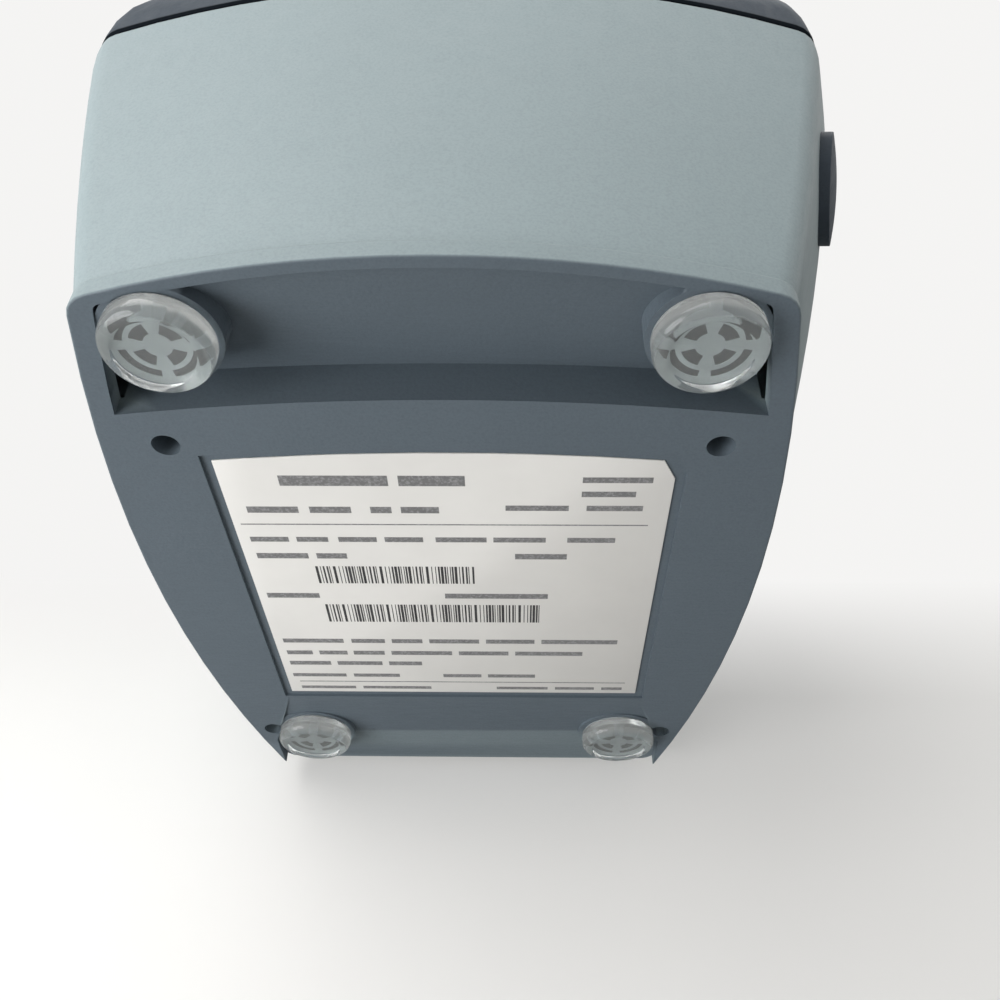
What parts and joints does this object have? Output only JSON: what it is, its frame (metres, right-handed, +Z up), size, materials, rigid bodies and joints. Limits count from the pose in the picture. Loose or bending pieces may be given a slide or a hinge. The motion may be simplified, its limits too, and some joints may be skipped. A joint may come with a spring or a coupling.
{
  "type": "desktop label printer",
  "caption": "Compact desktop printer for postage labels: flared casing on clear feet, hinged domed lid with side release button, roll holders, platen drive and thermal head.",
  "frame": {"origin": "on the table under the middle of the part's box", "axes": "+Z up, the label exit faces -Y, +X is the side with the release button"},
  "size_m": [0.1544, 0.1534, 0.122],
  "materials": {
    "base_plastic": "fine spark-eroded texture, satin",
    "casing_plastic": "fine spark-eroded texture, satin",
    "lid_plastic": "fine spark-eroded texture, satin",
    "rating_sheet": "smooth printed sheet, left bare of words",
    "clear_foot": "clear soft polyurethane",
    "steel": "plain rolled or turned steel",
    "black_plastic": "plain moulded",
    "grey_plastic": "plain moulded",
    "key_plastic": "satin moulded",
    "lens": "clear light pipe",
    "circuit_board": "solder mask",
    "platen_rubber": "ground rubber",
    "white_plastic": "acetal",
    "brass": "machined",
    "aluminium": "plain"
  },
  "bodies": {
    "body": {"base_tray": "base_plastic", "rating_plate": "rating_sheet", "foot_front_left": "clear_foot", "foot_front_right": "clear_foot", "foot_rear_left": "clear_foot", "foot_rear_right": "clear_foot", "base_screws": "steel", "casing": "casing_plastic", "hinge_pin_left": "steel", "hinge_pin_right": "steel", "latch_pin": "steel", "side_plate_left": "steel", "side_plate_right": "steel", "tie_bars": "steel", "platen_bushes": "white_plastic", "idler_post": "steel", "motor_body": "steel", "motor_screws": "steel", "tear_bar": "steel", "label_guide": "black_plastic", "label_sensor": "black_plastic", "main_board": "circuit_board", "board_parts": "black_plastic", "board_screws": "steel", "usb_socket": "steel", "power_jack": "black_plastic", "roll_cradle": "black_plastic", "pinion_clip": "steel"},
    "lid": {"lid": "lid_plastic", "lid_frame": "black_plastic", "lid_screws": "steel", "head_pivot_pin": "steel", "head_springs": "steel", "status_lens": "lens", "button_board": "circuit_board"},
    "head": {"head_bracket": "steel", "print_head": "aluminium"},
    "feed_key": {"feed_button": "key_plastic"},
    "release_key": {"release_button": "lid_plastic"},
    "latch": {"latch_lever": "black_plastic", "latch_spring": "steel"},
    "platen": {"platen_shaft": "steel", "platen_rubber": "platen_rubber", "platen_gear": "white_plastic"},
    "idler": {"idler_gear": "white_plastic"},
    "motor_rotor": {"motor_pinion": "brass"},
    "left_holder": {"roll_holder_left": "grey_plastic"},
    "right_holder": {"roll_holder_right": "grey_plastic"},
    "left_hub": {"hub_left": "grey_plastic"},
    "right_hub": {"hub_right": "grey_plastic"},
    "holder_pinion": {"sync_pinion": "white_plastic"}
  },
  "joints": [
    {"name": "lid_hinge", "type": "hinge", "parent": "body", "child": "lid", "pos_m": [0, 0.0712, 0.083], "axis": [-1, 0, 0], "range_deg": [0, 95]},
    {"name": "head_rock", "type": "hinge", "parent": "lid", "child": "head", "pos_m": [0, -0.038, 0.0889], "axis": [-1, 0, 0], "range_deg": [0, 3], "stiffness_Nm_per_rad": 2, "springref_deg": -5.73, "deforming": ["head_springs"]},
    {"name": "feed_press", "type": "slide", "parent": "lid", "child": "feed_key", "axis": [0, 0, -1], "range_m": [0, 0.001], "stiffness_N_per_m": 600, "springref_m": -0.001},
    {"name": "release_press", "type": "slide", "parent": "body", "child": "release_key", "axis": [-1, 0, 0], "range_m": [0, 0.0016], "stiffness_N_per_m": 800, "springref_m": -0.002},
    {"name": "latch_pivot", "type": "hinge", "parent": "body", "child": "latch", "pos_m": [0.0517, -0.05, 0.0705], "axis": [0, 1, 0], "range_deg": [0, 6.6]},
    {"name": "platen_spin", "type": "hinge", "parent": "body", "child": "platen", "pos_m": [0, -0.057, 0.073], "axis": [1, 0, 0], "continuous": true},
    {"name": "idler_spin", "type": "hinge", "parent": "body", "child": "idler", "pos_m": [-0.05, -0.04881, 0.05693], "axis": [1, 0, 0], "continuous": true},
    {"name": "motor_spin", "type": "hinge", "parent": "body", "child": "motor_rotor", "pos_m": [-0.05, -0.03972, 0.0457], "axis": [1, 0, 0], "continuous": true},
    {"name": "left_holder_slide", "type": "slide", "parent": "body", "child": "left_holder", "axis": [1, 0, 0], "range_m": [0, 0.015]},
    {"name": "right_holder_slide", "type": "slide", "parent": "body", "child": "right_holder", "axis": [-1, 0, 0], "range_m": [0, 0.015]},
    {"name": "holder_pinion_spin", "type": "hinge", "parent": "body", "child": "holder_pinion", "pos_m": [0, 0.018, 0.026], "axis": [0, 0, 1], "range_deg": [0, 144]},
    {"name": "left_hub_spin", "type": "hinge", "parent": "left_holder", "child": "left_hub", "pos_m": [-0.033, 0.018, 0.07], "axis": [1, 0, 0], "continuous": true},
    {"name": "right_hub_spin", "type": "hinge", "parent": "right_holder", "child": "right_hub", "pos_m": [0.033, 0.018, 0.07], "axis": [1, 0, 0], "continuous": true}
  ],
  "couplings": [
    {"joint": "latch_pivot", "follows": "release_press", "rad_per_m": 71.429},
    {"joint": "idler_spin", "follows": "platen_spin", "ratio": -0.66667},
    {"joint": "motor_spin", "follows": "platen_spin", "ratio": 2},
    {"joint": "right_holder_slide", "follows": "left_holder_slide", "ratio": 1},
    {"joint": "holder_pinion_spin", "follows": "left_holder_slide", "rad_per_m": 166.67}
  ]
}
